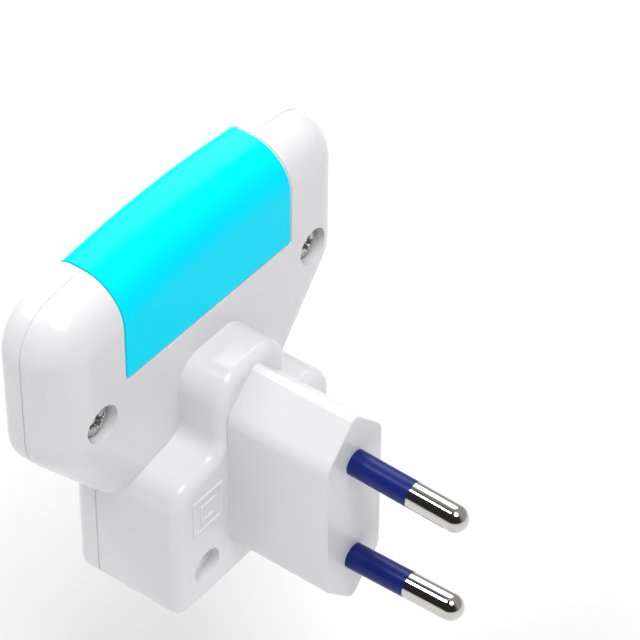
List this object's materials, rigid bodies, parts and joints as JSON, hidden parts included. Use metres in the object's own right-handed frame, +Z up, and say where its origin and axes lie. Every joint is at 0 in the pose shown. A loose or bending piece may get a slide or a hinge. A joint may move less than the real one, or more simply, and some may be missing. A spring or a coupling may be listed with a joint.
{
  "type": "plug-in night light",
  "caption": "Plug-in night light: flat wall plug with round sleeved pins, T-shaped white case, wrap-around cyan light window and a rocker switch on the room side.",
  "frame": {"origin": "centre of the plug's engagement face, midway between the two pins", "axes": "+Z up with the light window at the top, +Y out of the plug into the wall socket, -Y towards the room, +X to the right seen from the room"},
  "size_m": [0.063, 0.0593, 0.061],
  "materials": {
    "case_white": "glossy white moulded plastic",
    "lens_cyan": "translucent cyan, lit from inside",
    "plug_white": "glossy white moulded plastic",
    "sleeve_blue": "deep blue insulating plastic",
    "pin_nickel": "nickel-plated brass",
    "screw_steel": "zinc-plated steel",
    "switch_ivory": "ivory plastic, satin",
    "dot_red": "red paint",
    "spring_steel": "bright spring steel",
    "contact_brass": "plain brass",
    "board_green": "glass-fibre board with solder mask",
    "led_clear": "clear epoxy",
    "resistor_tan": "lacquered film resistor",
    "diode_black": "moulded black epoxy",
    "capacitor_yellow": "film capacitor box",
    "capacitor_sleeve": "shrink-sleeved aluminium can",
    "wire_red": "insulated hook-up wire",
    "wire_blue": "insulated hook-up wire",
    "retainer_grey": "fibre plate"
  },
  "bodies": {
    "case": {"front_shell": "case_white", "back_shell": "case_white", "lens": "lens_cyan", "plug_body": "plug_white", "plug_retainer": "retainer_grey", "retainer_screws": "screw_steel", "pin_upper": "pin_nickel", "pin_lower": "pin_nickel", "sleeve_upper": "sleeve_blue", "sleeve_lower": "sleeve_blue", "case_screws": "screw_steel", "switch_frame": "switch_ivory", "terminal_pivot": "contact_brass", "terminal_fixed": "contact_brass", "led_board": "board_green", "board_screws": "screw_steel", "leds": "led_clear", "resistors": "resistor_tan", "bridge_diodes": "diode_black", "dropper_capacitor": "capacitor_yellow", "smoothing_capacitor": "capacitor_sleeve", "wire_live": "wire_red", "wire_switched": "wire_red", "wire_neutral": "wire_blue"},
    "rocker": {"rocker": "switch_ivory", "rocker_dot": "dot_red", "rocker_spring": "spring_steel", "rocker_plunger": "contact_brass"},
    "blade": {"contact_blade": "contact_brass"}
  },
  "joints": [
    {"name": "rocker_hinge", "type": "hinge", "parent": "case", "child": "rocker", "pos_m": [0, -0.0347, -0.0065], "axis": [0, 0, 1], "range_deg": [0, 20]},
    {"name": "blade_hinge", "type": "hinge", "parent": "case", "child": "blade", "pos_m": [0, -0.0292, -0.0065], "axis": [0, 0, 1], "range_deg": [-14, 0]}
  ],
  "couplings": [
    {"joint": "blade_hinge", "follows": "rocker_hinge", "ratio": -0.7}
  ]
}
